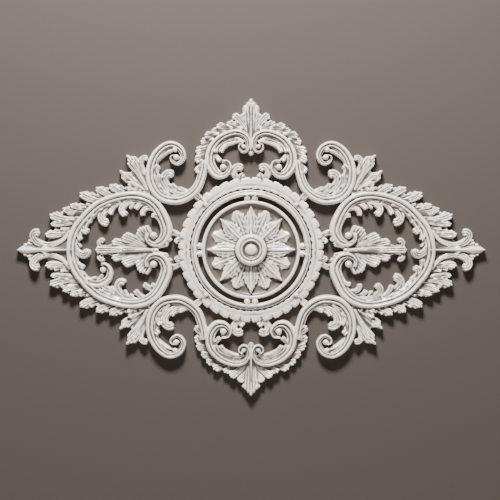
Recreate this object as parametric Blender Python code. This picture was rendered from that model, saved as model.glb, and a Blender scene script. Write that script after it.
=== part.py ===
"""Ceiling medallion: one cast ornament, a rosette in a pierced diamond of scrolls and leaves.

The piece is drawn in millimetres from the middle of the rosette: "out" is the way to the nearer
tip, "up" the way to the nearer crest, and a height is how far a place stands off the back. Each
scroll and leaf is a stroke: a cross-section carried along a line, and on down past the back.
The strokes overlap like the carver's pieces of a pattern. A Remesh fuses them into one soft-edged
casting, a Decimate keeps the faces that its form needs, and a cut leaves the back flat at Y = 0.
The face looks towards -Y, the long axis is X, and the origin is the middle of the back.
"""
import math

import bmesh
import bpy
import numpy as np

MM = 0.001
LEFT = -1
RIGHT = 1
UPPER = 1
LOWER = -1

# Heights above the flat back, in millimetres
ROLL_HEIGHT = 20.0
EYE_HEIGHT = 22.5
LEAF_HEIGHT = 16.5
FINGER_HEIGHT = 15.0
WEB_HEIGHT = 8.0
FIELD_HEIGHT = 8.0
RIM_HEIGHT = 17.0
RING_HEIGHT = 21.0
COLLAR_HEIGHT = 14.0
PETAL_HEIGHT = 19.0
BOSS_HEIGHT = 34.5

# Radii of the round middle, in millimetres
DISC_RADIUS = 106.0
RIM_RADIUS = 98.1
FIELD_RADIUS = 92.5
SLOT_RADIUS = 116.1
RING_RADIUS = 129.0
COLLAR_RADIUS = 157.0
WRAP_RADIUS = 172.0
PETAL_RADIUS = 94.6
SMALL_PETAL_RADIUS = 89.2
BOSS_RADIUS = 34.0
DISH_RADIUS = 19.4
DOME_RADIUS = 11.6
TIE_RADIUS = 111.4
TIE_BALL = 7.1
TIE_SPACING = 16.3

# Widths across the petals and the leaves wrapped over the collar, in millimetres
PETAL_WIDTH = 29.0
SMALL_PETAL_WIDTH = 23.7
WRAP_WIDTH = 15.1

# How finely curves are cut: degrees of turn, the longest straight in millimetres, and the sides
# of a stud and of the middle's rings
TURN_STEP = 15.0
LONGEST_STEP = 30.0
STUD_SIDES = 12
RING_SIDES = 64

# Cross-sections: (place across from -1 to 1, share of the stroke's height)
BAND = [(-1, 0), (-1, 0.5), (-0.84, 0.86), (-0.5, 1.0), (-0.16, 0.84), (0.02, 0.56), (0.2, 0.72),
        (0.56, 0.82), (0.86, 0.66), (1, 0.4), (1, 0)]
VOLUTE = BAND
RIB = [(-1, 0), (-1, 0.25), (-0.75, 0.72), (0, 1), (0.75, 0.72), (1, 0.25), (1, 0)]
WEB = [(-1, 0), (-1, 0.6), (0, 1), (1, 0.6), (1, 0)]

# A leaf's ribs: how far each overlaps the next, how near they start, and how far each ends short
# of the one nearer the middle, counted in rib widths
RIB_OVERLAP = 1.5
ROOT_SPREAD = 0.45
LEAF_POINT = 0.5
FINGER_POINT = 0.35
PETAL_POINT = 1.0
CREST_POINT = 1.1
SHORTEST_RIB = 0.35

# The casting: how far the strokes run past the back before it is cut, what the fusing wears off a
# finial's thin tip, the size of the softest edge, the share of the fused faces that is kept, and a
# length that is more than the piece's own
BURIED = 6.0
TIP_WEAR = 1.8
SOFTNESS = 2.5
FACES_KEPT = 0.0231
BEYOND = 1200.0

corners = []
faces = []


def clear_scene():
    """Starts from an empty file."""
    for thing in list(bpy.data.objects):
        bpy.data.objects.remove(thing, do_unlink=True)


def spline(points, steps=16):
    """A smooth line through the points, as a dense row of places."""
    knots = [np.array(point, float) for point in points]
    knots = [2 * knots[0] - knots[1]] + knots + [2 * knots[-1] - knots[-2]]
    places = []
    for before, start, end, after in zip(knots, knots[1:], knots[2:], knots[3:]):
        for step in range(steps):
            t = step / steps
            bend = 2 * start + (end - before) * t + (2 * before - 5 * start + 4 * end - after) * t ** 2
            places.append(0.5 * (bend + (3 * start - before - 3 * end + after) * t ** 3))
    places.append(knots[-2])
    return np.array(places)


def arc_line(root, tip, turn, steps=48):
    """A line from root to tip that turns by so many degrees, more tightly towards the tip."""
    share = (np.arange(steps) + 0.5) / steps
    heading = math.radians(turn) * share ** 2
    line = np.concatenate([[0], np.cumsum(np.exp(1j * heading))])
    line = complex(*root) + line * (complex(*tip) - complex(*root)) / line[-1]
    return np.stack([line.real, line.imag], axis=1)


def distance_along(line):
    """How far along the line each of its places is."""
    return np.concatenate([[0], np.cumsum(np.linalg.norm(np.diff(line, axis=0), axis=1))])


def headings(line):
    """Which way the line runs at each of its places, in radians."""
    run = np.gradient(line, axis=0)
    return np.unwrap(np.arctan2(run[:, 1], run[:, 0]))


def stations(line):
    """The places on the line where rings go, as shares of its length: closer where it turns."""
    along = distance_along(line)
    turned = np.degrees(np.abs(np.diff(headings(line)))) / TURN_STEP
    effort = np.concatenate([[0], np.cumsum(turned + np.diff(along) / LONGEST_STEP)])
    count = max(2, math.ceil(effort[-1]))
    wanted = np.linspace(0, effort[-1], count + 1)
    return np.interp(wanted, effort, along / along[-1])


def closed_shell(rings, is_loop=False):
    """Joins rings of (x, up, height) into a closed shell, capped at both ends unless it is a loop."""
    around = len(rings[0])
    first = len(corners)
    for ring_corners in rings:
        for x, up, height in ring_corners:
            corners.append((x * MM, (-height if height > 0 else BURIED) * MM, up * MM))
    starts = [first + number * around for number in range(len(rings))]
    followers = starts[1:] + starts[:1] if is_loop else starts[1:]
    for start, follower in zip(starts, followers):
        for place in range(around):
            beside = (place + 1) % around
            faces.append((start + place, start + beside, follower + beside, follower + place))
    if not is_loop:
        faces.append(tuple(range(starts[0], starts[0] + around))[::-1])
        faces.append(tuple(range(starts[-1], starts[-1] + around)))


def stroke(line, shares, widths, heights, section, side, level):
    """Carries a section along a line, to the left or right side, on the upper or lower level."""
    along = distance_along(line)
    along = along / along[-1]
    heading = headings(line)
    rings = []
    for share, width, height in zip(shares, widths, heights):
        out = np.interp(share, along, line[:, 0])
        up = np.interp(share, along, line[:, 1])
        angle = np.interp(share, along, heading)
        across = (-math.sin(angle) * width / 2, math.cos(angle) * width / 2)
        rings.append([((out + across[0] * place) * side, (up + across[1] * place) * level,
                       rise * height) for place, rise in section])
    closed_shell(rings)


def scroll(points, widths, side, level, height=ROLL_HEIGHT, section=BAND):
    """A band through the points, with a width in millimetres at each of them."""
    line = spline(points)
    knots = distance_along(line)[::16]
    shares = stations(line)
    stroke(line, shares, np.interp(shares, knots / knots[-1], widths),
           [height] * len(shares), section, side, level)


def fan(line, width, ribs, side, level, height, slant, point):
    """Broad ribs side by side along a line; slant ends those on the left sooner."""
    ribs = (ribs + 1) // 2
    length = distance_along(line)[-1]
    across = np.stack([-np.sin(headings(line)), np.cos(headings(line))], axis=1)
    pitch = width / ribs
    rib_width = pitch * (RIB_OVERLAP if ribs > 1 else 1.0)
    share = distance_along(line) / length
    spread = ROOT_SPREAD + (1 - ROOT_SPREAD) * np.clip(share / 0.75, 0, 1)
    for rib in range(ribs):
        off = rib - (ribs - 1) / 2
        rib_line = line + across * (off * pitch * spread)[:, None]
        sooner = point * abs(off) + slant * (off + (ribs - 1) / 2)
        end = max(SHORTEST_RIB, 1 - pitch / length * sooner)
        round_end = min(0.35, 0.5 * rib_width / length)
        shares = np.concatenate([stations(line) * (end - round_end), [end - 0.4 * round_end, end]])
        to_end = np.clip((shares - end + round_end) / round_end, 0, 1)
        swell = np.interp(shares, [0, 0.6 * end], [0.55, 1.0])
        stroke(rib_line, shares, rib_width * swell * (1 - 0.6 * to_end ** 2),
               height * np.interp(shares, [0, 0.8 * end], [0.8, 1.0]) * (1 - 0.2 * to_end), RIB, side, level)


def leaf(root, tip, turn, width, ribs, side, level, height=LEAF_HEIGHT, slant=0.0, point=LEAF_POINT):
    """A lobe from root to tip that turns by so many degrees."""
    fan(arc_line(root, tip, turn), width, ribs, side, level, height, slant, point)


def leaves(rows, side, level, height=LEAF_HEIGHT):
    """Lobes given as root, tip, turn, width, ribs and slant."""
    for root, tip, turn, width, ribs, slant in rows:
        leaf(root, tip, turn, width, ribs, side, level, height, slant)


def finger(points, width, ribs, side, level, height=FINGER_HEIGHT):
    """A lobe whose line runs along a band and then hooks away from it."""
    fan(spline(points), width, ribs, side, level, height, 0.0, FINGER_POINT)


def fingers(rows, side, level, height=FINGER_HEIGHT):
    """Hooks given as the points of their line, width and ribs."""
    for points, width, ribs in rows:
        finger(points, width, ribs, side, level, height)


def stud(profile, centre, sides=STUD_SIDES):
    """A round upright piece turned from (radius, height) pairs."""
    rings = []
    for radius, height in profile:
        rings.append([(centre[0] + radius * math.cos(2 * math.pi * turn / sides),
                       centre[1] + radius * math.sin(2 * math.pi * turn / sides), height)
                      for turn in range(sides)])
    closed_shell(rings)


def eye(centre, radius, side, level, height=EYE_HEIGHT):
    """The ball that a scroll winds up to."""
    profile = [(radius, 0), (radius, height - radius * 0.9), (radius * 0.8, height - radius * 0.35),
               (radius * 0.3, height)]
    stud(profile, (centre[0] * side, centre[1] * level))


def turned_ring(profile):
    """A closed profile of (radius, height) turned about the middle."""
    rings = []
    for turn in range(RING_SIDES):
        angle = 2 * math.pi * turn / RING_SIDES
        rings.append([(radius * math.cos(angle), radius * math.sin(angle), height)
                      for radius, height in profile])
    closed_shell(rings, is_loop=True)


# The left wing seen from the front: the long band round the outside of its opening
WING_BAND = [(387, 0), (382, 29), (367, 57), (324, 98), (260, 116), (211, 101),
             (183, 51), (189, 22), (208, 13), (223, 22), (224, 36)]
WING_WIDTHS = [22.6, 22.6, 23.7, 22.6, 21.5, 23.7, 26.7, 22.6, 15.1, 10.8, 8.6]
WING_EYE = (210, 31)
FINGERS = [
    ([(187, 25), (192, 51), (203, 72), (216, 74)], 7, 2),
    ([(187, 47), (198, 73), (211, 88), (225, 90), (234, 81), (233, 72)], 8, 2),
    ([(200, 88), (217, 97), (234, 99), (245, 94), (249, 86)], 8, 2),
    ([(196, 81), (217, 101), (247, 106), (269, 100), (279, 86), (269, 73)], 11, 3),
    ([(226, 103), (247, 104), (262, 88)], 7, 1),
    ([(228, 109), (265, 109), (297, 97), (318, 82), (323, 69), (317, 60), (306, 59)], 13, 3),
    ([(280, 101), (297, 91), (305, 75)], 8, 2),
    ([(275, 107), (310, 95), (337, 79), (356, 59), (361, 45), (350, 37)], 11, 3),
    ([(327, 87), (343, 72), (348, 57)], 7, 1),
    ([(316, 94), (346, 75), (366, 46), (371, 30), (366, 20)], 8, 2),
    ([(372, 38), (374, 19), (366, 6)], 6, 1),
]
END_FINGER = [(359, 64), (375, 39), (382, 15), (375, -3), (363, -11), (354, -8), (354, 3)]
LEFT_LOWER_FINGERS = [
    ([(385, 3), (380, 20), (370, 33), (358, 39)], 8, 2),
    ([(239, 114), (269, 109), (299, 93), (321, 81)], 14, 3),
    ([(252, 108), (284, 95), (306, 81)], 9, 2),
    ([(217, 110), (245, 107), (272, 100), (287, 85), (286, 72), (278, 68), (271, 74)], 10, 2),
    ([(243, 108), (265, 100), (273, 86)], 7, 1),
    ([(226, 110), (249, 106), (261, 95)], 7, 1),
    ([(204, 104), (226, 104), (242, 97), (251, 86)], 8, 2),
    ([(191, 84), (202, 91), (219, 83), (233, 73)], 8, 2),
    ([(187, 58), (191, 76), (204, 80), (216, 74)], 7, 2),
]
LEFT_LOWER_SCROLL = [(385, 18), (381, 37), (369, 56), (349, 71), (326, 74), (309, 64),
                     (304, 47), (311, 34), (323, 30)]
LEFT_LOWER_WIDTHS = [8.6, 12.9, 16.1, 18.3, 18.3, 16.1, 12.9, 9.9, 7.7]
LEFT_LOWER_EYE = (319, 43)
LEFT_LOWER_TEETH = [
    ([(363, 56), (346, 63), (332, 59)], 7, 1),
    ([(346, 66), (329, 64), (320, 52)], 7, 1),
]
OUTER_LEAVES = [
    ((217, 114), (267, 135), 35, 13, 2, 0.6),
    ((239, 114), (305, 141), 50, 18, 3, 0.9),
    ((249, 116), (286, 136), 40, 12, 2, 0.6),
    ((271, 108), (334, 135), 50, 19, 3, 0.9),
    ((288, 111), (318, 135), 45, 12, 2, 0.5),
    ((301, 98), (369, 123), 55, 21, 3, 0.5),
    ((314, 103), (350, 128), 45, 15, 3, 0.8),
    ((320, 88), (388, 97), 50, 17, 3, 0.8),
    ((331, 90), (371, 110), 45, 12, 2, 0.5),
    ((340, 75), (405, 89), 55, 18, 3, 0.6),
    ((353, 60), (433, 77), 60, 23, 3, 0.4),
    ((361, 64), (413, 77), 40, 12, 2, 0.5),
    ((363, 53), (434, 57), 15, 13, 2, 0.0),
    ((368, 38), (443, 35), 50, 19, 3, 0.6),
    ((376, 45), (427, 46), 40, 12, 2, 0.5),
]
FINIAL_CURL = [(389, 40), (409, 19), (437, 10), (459, 15), (470, 28), (466, 37), (455, 37)]
FINIAL_LOBE = ((449, 4), (484, 16), -20, 12, 3, 0.3)
FINIAL_BLADE = [(432, 0), (458, 0), (480, 0), (495, 0), (504, 0)]
FINIAL_BLADE_WIDTHS = [12.9, 15.1, 23.7, 16.1, 2.2]
FINIAL_NECK = [(385, 0), (419, 0), (454, 0), (475, 0)]
FINIAL_NECK_WIDTHS = [47.3, 32.3, 17.2, 12.9]
WING_WEB = [(239, 120), (277, 117), (316, 105), (353, 86), (383, 64), (404, 43), (419, 23), (443, 6)]
WING_WEB_WIDTHS = [6.5, 15.1, 19.4, 21.5, 25.8, 30.1, 25.8, 10.8]
TONGUE_LEAVES = [
    ((215, 5), (244, 47), -20, 38, 6, 0.0),
    ((219, 4), (281, 30), -12, 22, 4, 0.25),
    ((230, 3), (302, 18), -8, 15, 3, 0.25),
]
TONGUE_CURL = [(282, 3), (305, 6), (323, 11), (328, 19), (320, 22)]
TONGUE_SPINE = ((200, 0), (336, 0), 0, 14, 3)
TONGUE_WEB = [(217, 0), (249, 0), (286, 0), (316, 0)]
TONGUE_WEB_WIDTHS = [34.4, 55.9, 38.7, 12.9]
CROSSING_LEAF = ((213, 1), (177, 14), 25, 12, 3, 0.0)


def outer_side(side, level):
    """The leaf run along the outside of half a wing, up to its half of the finial."""
    scroll(WING_WEB, WING_WEB_WIDTHS, side, level, WEB_HEIGHT, WEB)
    leaves(OUTER_LEAVES, side, level)
    finger(FINIAL_CURL, 15, 3, side, level, LEAF_HEIGHT + 2)
    leaves([FINIAL_LOBE], side, level, LEAF_HEIGHT - 2)


def wing(side, upper_fingers, lower_fingers):
    """A wing, with the fingers of its upper and its lower half."""
    lower_band = [(out, -up) for out, up in WING_BAND[:0:-1]]
    scroll(lower_band + WING_BAND, WING_WIDTHS[:0:-1] + WING_WIDTHS, side, UPPER)
    for level, rows in ((UPPER, upper_fingers), (LOWER, lower_fingers)):
        eye(WING_EYE, 8.6, side, level)
        outer_side(side, level)
        fingers(rows, side, level)
        leaves(TONGUE_LEAVES, side, level, LEAF_HEIGHT - 1)
        finger(TONGUE_CURL, 8, 2, side, level)
        leaves([CROSSING_LEAF], side, level, LEAF_HEIGHT + 3)
    finger(END_FINGER, 11, 3, side, UPPER)
    scroll(TONGUE_WEB, TONGUE_WEB_WIDTHS, side, UPPER, WEB_HEIGHT, WEB)
    leaf(*TONGUE_SPINE, side, UPPER, LEAF_HEIGHT + 2)
    scroll(FINIAL_NECK, FINIAL_NECK_WIDTHS, side, UPPER, WEB_HEIGHT + 2, WEB)
    tip_out, tip_up = FINIAL_BLADE[-1]
    scroll(FINIAL_BLADE[:-1] + [(tip_out + TIP_WEAR, tip_up)], FINIAL_BLADE_WIDTHS, side, UPPER,
           LEAF_HEIGHT + 1, RIB)


# The upper left corner: a C-scroll, its eyes, the leaf inside it and the palmette on its back
CORNER_SCROLL = [(101, 193), (105, 165), (116, 135), (138, 115), (163, 108), (194, 116),
                 (213, 142), (215, 178), (201, 209), (177, 226), (155, 220), (146, 202),
                 (156, 187), (169, 191), (172, 200), (163, 203)]
CORNER_WIDTHS = [17.2, 19.4, 20.4, 21.5, 22.6, 22.6, 22.6, 21.5, 19.4, 17.2, 15.1, 12.9,
                 10.8, 9.0, 6.5, 4.3]
CORNER_EYE = (161, 199)
CORNER_INNER_EYE = (164, 216)
CORNER_FINGERS = [
    ([(110, 144), (129, 125), (151, 123), (174, 131), (186, 146), (186, 158), (177, 165),
      (166, 161)], 13, 3),
    ([(131, 122), (153, 129), (167, 135), (171, 144)], 8, 2),
    ([(114, 135), (135, 126), (156, 133)], 7, 2),
    ([(176, 118), (191, 135), (198, 152), (192, 162)], 11, 3),
    ([(196, 135), (203, 159), (205, 175), (197, 182)], 9, 2),
    ([(213, 167), (201, 193), (183, 209), (169, 215)], 8, 1),
]
PALMETTE = [
    ((217, 124), (267, 202), -22, 24, 5, 0.0),
    ((224, 129), (255, 193), -5, 12, 3, 0.0),
    ((222, 122), (281, 169), 6, 20, 5, 0.2),
    ((217, 119), (266, 147), 20, 11, 3, 0.0),
]
PALMETTE_CURL = [(213, 129), (228, 161), (238, 187), (232, 198), (222, 197)]
PALMETTE_WEB = [(217, 124), (237, 148), (254, 172)]
PALMETTE_WEB_WIDTHS = [10.8, 23.7, 17.2]


def corner(side, level):
    """One C-scroll with its eyes, inner leaf and palmette."""
    scroll(CORNER_SCROLL, CORNER_WIDTHS, side, level)
    eye(CORNER_EYE, 7.7, side, level)
    eye(CORNER_INNER_EYE, 6.5, side, level, EYE_HEIGHT - 4)
    fingers(CORNER_FINGERS, side, level, FINGER_HEIGHT + 1)
    scroll(PALMETTE_WEB, PALMETTE_WEB_WIDTHS, side, level, WEB_HEIGHT, WEB)
    leaves(PALMETTE, side, level)
    finger(PALMETTE_CURL, 11, 3, side, level, LEAF_HEIGHT + 1)


# The upper cartouche's left half, its crest and leaf run, and what the lower one has instead
CARTOUCHE_SCROLL = [(63, 191), (50, 188), (47, 175), (57, 163), (73, 163), (85, 177),
                    (89, 196), (83, 220), (62, 242), (32, 252), (13, 243), (8, 228)]
CARTOUCHE_WIDTHS = [6.5, 9.5, 11.2, 16.1, 21.5, 22.6, 21.5, 19.4, 17.2, 15.1, 12.9, 8.6]
CARTOUCHE_EYE = (60, 178)
CARTOUCHE_SMALL_EYE = (17, 221)
CARTOUCHE_FINGERS = [
    ([(16, 232), (28, 239), (47, 239), (66, 231), (76, 220), (80, 209)], 13, 3),
    ([(22, 234), (39, 231), (55, 225), (63, 217), (66, 209)], 9, 2),
    ([(83, 223), (79, 208), (72, 198), (65, 191)], 9, 2),
]
CREST_LEAVES = [
    ((2, 255), (40, 291), -30, 17, 4, 0.2),
    ((2, 258), (19, 294), -25, 11, 3, 0.0),
    ((11, 260), (37, 276), 10, 12, 3, 0.2),
]
CREST = ((0, 253), (0, 327), 0, 34, 5)
CREST_STEM = [(0, 221), (0, 243), (0, 266), (0, 292)]
CREST_STEM_WIDTHS = [10.8, 18.3, 12.9, 3.2]
CARTOUCHE_RUN = [
    ((19, 260), (54, 276), 5, 17, 3, 0.35),
    ((41, 260), (76, 270), 5, 15, 3, 0.35),
    ((54, 254), (87, 258), 0, 13, 3, 0.3),
    ((69, 249), (103, 247), 0, 15, 3, 0.35),
    ((80, 238), (111, 233), 0, 14, 3, 0.35),
    ((86, 223), (122, 210), -5, 17, 3, 0.35),
    ((90, 208), (123, 191), -5, 16, 3, 0.3),
    ((92, 197), (119, 164), -20, 14, 3, 0.2),
    ((88, 187), (100, 170), 0, 9, 2, 0.0),
]
CARTOUCHE_WEB = [(11, 255), (49, 259), (81, 243), (100, 217), (104, 193), (99, 178)]
CARTOUCHE_WEB_WIDTHS = [17.2, 19.4, 23.7, 23.7, 19.4, 10.8]
JOINING_FINGERS = [
    ([(1, 133), (19, 144), (34, 159), (37, 171), (28, 179), (17, 174)], 12, 3),
    ([(0, 137), (14, 146), (22, 157), (14, 164)], 9, 2),
]
PENDANT = ((0, 236), (0, 203), 0, 12, 1)
LOW_CREST = ((0, 246), (0, 315), 0, 30, 5)
LOW_CREST_STEM = [(0, 213), (0, 233), (0, 254), (0, 280)]
LOW_CREST_LEAVES = [
    ((2, 237), (48, 274), -20, 17, 4, 0.2),
    ((2, 246), (28, 286), -20, 15, 4, 0.2),
    ((1, 258), (17, 299), -10, 10, 2, 0.0),
]
LOW_RUN = [
    ((24, 243), (60, 266), 5, 15, 3, 0.35),
    ((45, 246), (84, 258), 5, 16, 3, 0.35),
    ((62, 239), (99, 243), 0, 15, 3, 0.35),
    ((75, 228), (110, 226), 0, 15, 3, 0.35),
    ((84, 215), (121, 207), 0, 16, 3, 0.35),
    ((88, 205), (124, 188), -5, 16, 3, 0.3),
    ((90, 194), (121, 163), -20, 14, 3, 0.2),
    ((88, 183), (99, 169), 0, 9, 2, 0.0),
]
LOW_BASE = 154.8
LOW_SHARE = 0.92


def placed(place, level):
    """A place of the upper cartouche, drawn in where it is the lower one."""
    if level == UPPER:
        return place
    return (place[0], LOW_BASE + (place[1] - LOW_BASE) * LOW_SHARE)


def cartouche(level, crest, crest_stem, crest_leaves, run):
    """Both halves of a cartouche, with its crest and pendant."""
    for side in (LEFT, RIGHT):
        scroll([placed(place, level) for place in CARTOUCHE_SCROLL], CARTOUCHE_WIDTHS, side, level)
        scroll([placed(place, level) for place in CARTOUCHE_WEB], CARTOUCHE_WEB_WIDTHS, side, level,
               WEB_HEIGHT, WEB)
        eye(placed(CARTOUCHE_EYE, level), 8.0, side, level)
        eye(placed(CARTOUCHE_SMALL_EYE, level), 8.4, side, level)
        for points, width, ribs in CARTOUCHE_FINGERS:
            finger([placed(place, level) for place in points], width, ribs, side, level)
        leaves(run, side, level)
        leaves(crest_leaves, side, level, LEAF_HEIGHT + 1)
        fingers(JOINING_FINGERS, side, level, LEAF_HEIGHT + 1)
    scroll(crest_stem, CREST_STEM_WIDTHS, RIGHT, level, LEAF_HEIGHT + 4, WEB)
    leaf(*crest, RIGHT, level, LEAF_HEIGHT + 3, point=CREST_POINT)
    root, tip, turn, width, ribs = PENDANT
    leaf(placed(root, level), placed(tip, level), turn, width, ribs, RIGHT, level, EYE_HEIGHT - 2)


def side_joints():
    """The leaves between the collar and each wing: the crests' joining leaves, turned a quarter."""
    for side in (LEFT, RIGHT):
        for level in (UPPER, LOWER):
            for points, width, ribs in JOINING_FINGERS:
                finger([(up, out) for out, up in points], width, ribs, side, level, LEAF_HEIGHT + 1)


def rosette():
    """The round middle: a rimmed disc with sixteen petals about a turned boss."""
    stud([(DISC_RADIUS, 0), (DISC_RADIUS, RIM_HEIGHT * 0.75), ((DISC_RADIUS + RIM_RADIUS) / 2, RIM_HEIGHT),
          (RIM_RADIUS, RIM_HEIGHT * 0.7), (FIELD_RADIUS, FIELD_HEIGHT)], (0, 0), RING_SIDES)
    for number in range(16):
        is_major = number % 2 == 0
        angle = math.pi * number / 8
        towards = np.array([math.cos(angle), math.sin(angle)])
        leaf(towards * BOSS_RADIUS * 0.6, towards * (PETAL_RADIUS if is_major else SMALL_PETAL_RADIUS), 0,
             PETAL_WIDTH if is_major else SMALL_PETAL_WIDTH, 5, RIGHT, UPPER,
             PETAL_HEIGHT if is_major else PETAL_HEIGHT - 5, point=PETAL_POINT)
    stud([(BOSS_RADIUS, 0), (BOSS_RADIUS, BOSS_HEIGHT * 0.62), (BOSS_RADIUS * 0.92, BOSS_HEIGHT * 0.82),
          (BOSS_RADIUS * 0.82, BOSS_HEIGHT * 0.9), (BOSS_RADIUS * 0.7, BOSS_HEIGHT * 0.84),
          (DISH_RADIUS, BOSS_HEIGHT * 0.88), (DOME_RADIUS * 1.3, BOSS_HEIGHT * 0.73),
          (DOME_RADIUS, BOSS_HEIGHT * 0.76), (DOME_RADIUS * 0.4, BOSS_HEIGHT * 0.89)], (0, 0), 24)


def ring():
    """The moulded ring about the slot, its leafy collar, and the pairs of balls that tie it in."""
    middle = (SLOT_RADIUS + RING_RADIUS) / 2
    turned_ring([(SLOT_RADIUS, 0), (SLOT_RADIUS, RING_HEIGHT * 0.65), (middle - 5, RING_HEIGHT * 0.95),
                 (middle, RING_HEIGHT), (RING_RADIUS, RING_HEIGHT * 0.7), (RING_RADIUS, 0)])
    turned_ring([(RING_RADIUS - 2, 0), (RING_RADIUS - 2, COLLAR_HEIGHT), (COLLAR_RADIUS * 0.92, COLLAR_HEIGHT),
                 (COLLAR_RADIUS, COLLAR_HEIGHT * 0.7), (COLLAR_RADIUS, 0)])
    for quarter in range(4):
        diagonal = math.pi * (quarter + 0.5) / 2
        towards = np.array([math.cos(diagonal), math.sin(diagonal)])
        leaf(towards * RING_RADIUS, towards * WRAP_RADIUS, 0, WRAP_WIDTH, 1, RIGHT, UPPER, COLLAR_HEIGHT + 3)
        for beside in (-1, 1):
            angle = math.pi * quarter / 2 + beside * TIE_SPACING / 2 / TIE_RADIUS
            eye((TIE_RADIUS * math.cos(angle), TIE_RADIUS * math.sin(angle)), TIE_BALL, RIGHT, UPPER,
                RIM_HEIGHT + 1)


def plaster():
    """Satin warm white paint over the casting."""
    paint = bpy.data.materials.new("warm_white_paint")
    paint.use_nodes = True
    shader = paint.node_tree.nodes["Principled BSDF"]
    shader.inputs["Base Color"].default_value = (0.62, 0.57, 0.54, 1.0)
    shader.inputs["Roughness"].default_value = 0.4
    shader.inputs["Metallic"].default_value = 0.0
    return paint


def pattern_mesh():
    """All the strokes as one mesh of closed shells that face outwards."""
    mesh = bpy.data.meshes.new("medallion")
    mesh.from_pydata(corners, [], faces)
    shells = bmesh.new()
    shells.from_mesh(mesh)
    bmesh.ops.recalc_face_normals(shells, faces=shells.faces)
    shells.to_mesh(mesh)
    shells.free()
    return mesh


def back_cutter():
    """A block behind the piece, whose front face leaves the back flat."""
    bpy.ops.mesh.primitive_cube_add(size=BEYOND * MM, location=(0.0, BEYOND * MM / 2, 0.0))
    cutter = bpy.context.object
    cutter.name = "back_cutter"
    cutter.hide_render = True
    cutter.display_type = "WIRE"
    return cutter


def cast():
    """The strokes fused into one solid, with the faces that its form needs and a flat back.

    The cut uses the MANIFOLD solver, because EXACT returns an empty mesh on this fine a form.
    """
    mesh = pattern_mesh()
    mesh.materials.append(plaster())
    medallion = bpy.data.objects.new("medallion", mesh)
    bpy.context.scene.collection.objects.link(medallion)
    fuse = medallion.modifiers.new("fuse", "REMESH")
    fuse.mode = "VOXEL"
    fuse.voxel_size = SOFTNESS * MM
    fuse.use_smooth_shade = True
    slim = medallion.modifiers.new("slim", "DECIMATE")
    slim.ratio = FACES_KEPT
    flat = medallion.modifiers.new("flat_back", "BOOLEAN")
    flat.operation = "DIFFERENCE"
    flat.solver = "MANIFOLD"
    flat.object = back_cutter()


def main():
    """Draws every stroke and casts them."""
    clear_scene()
    wing(LEFT, FINGERS, LEFT_LOWER_FINGERS)
    wing(RIGHT, FINGERS, FINGERS)
    scroll(LEFT_LOWER_SCROLL, LEFT_LOWER_WIDTHS, LEFT, LOWER, ROLL_HEIGHT - 3, VOLUTE)
    eye(LEFT_LOWER_EYE, 6.5, LEFT, LOWER, EYE_HEIGHT - 5)
    fingers(LEFT_LOWER_TEETH, LEFT, LOWER)
    for side in (LEFT, RIGHT):
        for level in (UPPER, LOWER):
            corner(side, level)
    cartouche(UPPER, CREST, CREST_STEM, CREST_LEAVES, CARTOUCHE_RUN)
    cartouche(LOWER, LOW_CREST, LOW_CREST_STEM, LOW_CREST_LEAVES, LOW_RUN)
    side_joints()
    rosette()
    ring()
    cast()


main()
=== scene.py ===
# %% [markdown]
# A ceiling medallion is one thin casting with a flat back: a rosette in a ring, set in a pierced
# diamond of scrolls and acanthus leaves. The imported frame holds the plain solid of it. This script
# makes the fine surface over that solid. The frame is loaded first, and nothing in it is moved.

# %% Load the frame
import math

import bpy
import numpy as np
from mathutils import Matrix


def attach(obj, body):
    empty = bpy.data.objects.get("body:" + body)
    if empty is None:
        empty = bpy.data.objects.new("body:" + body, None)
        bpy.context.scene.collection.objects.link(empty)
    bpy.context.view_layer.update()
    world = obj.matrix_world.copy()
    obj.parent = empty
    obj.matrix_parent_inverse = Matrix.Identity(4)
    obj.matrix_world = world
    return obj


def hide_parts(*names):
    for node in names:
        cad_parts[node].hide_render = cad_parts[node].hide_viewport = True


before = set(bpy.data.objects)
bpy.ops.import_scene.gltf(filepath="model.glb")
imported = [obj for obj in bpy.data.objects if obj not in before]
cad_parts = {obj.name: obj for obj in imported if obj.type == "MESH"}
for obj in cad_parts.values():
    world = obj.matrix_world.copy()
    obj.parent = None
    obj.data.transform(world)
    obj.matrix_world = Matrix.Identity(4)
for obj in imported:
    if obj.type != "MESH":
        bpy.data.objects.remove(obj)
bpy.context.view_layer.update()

# %% [markdown]
# The carver draws such a piece flat, from the middle of the rosette. "out" is the way to the nearer
# tip, "up" the way to the nearer crest, and a height is how far a place stands off the flat back.
# Drawing one quarter that way lets a side and a level turn it into any of the four.

# %% The drawing's measures
MM = 0.001
LEFT = -1
RIGHT = 1
UPPER = 1
LOWER = -1
SIDES = (LEFT, RIGHT)
LEVELS = (UPPER, LOWER)

ROLL_HEIGHT = 20.0
EYE_HEIGHT = 21.0
LEAF_HEIGHT = 16.5
FINGER_HEIGHT = 16.5
WEB_HEIGHT = 8.0
# how far each stroke goes on past the flat back, which a cut makes plane at the end
BURIED = 3.0
print("heights in mm, roll", ROLL_HEIGHT, "eye", EYE_HEIGHT, "leaf", LEAF_HEIGHT, "web", WEB_HEIGHT)

# %% [markdown]
# Real ornament is modelled in clay with strokes of a tool: each scroll, rib and finger is one pull
# along a line. Here a stroke is a cross-section carried along a line, and on down past the back.
# Curves with a bevel could do it too, but they can't change their section's height on the way.

# %% Lines
SPLINE_STEPS = 16


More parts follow.
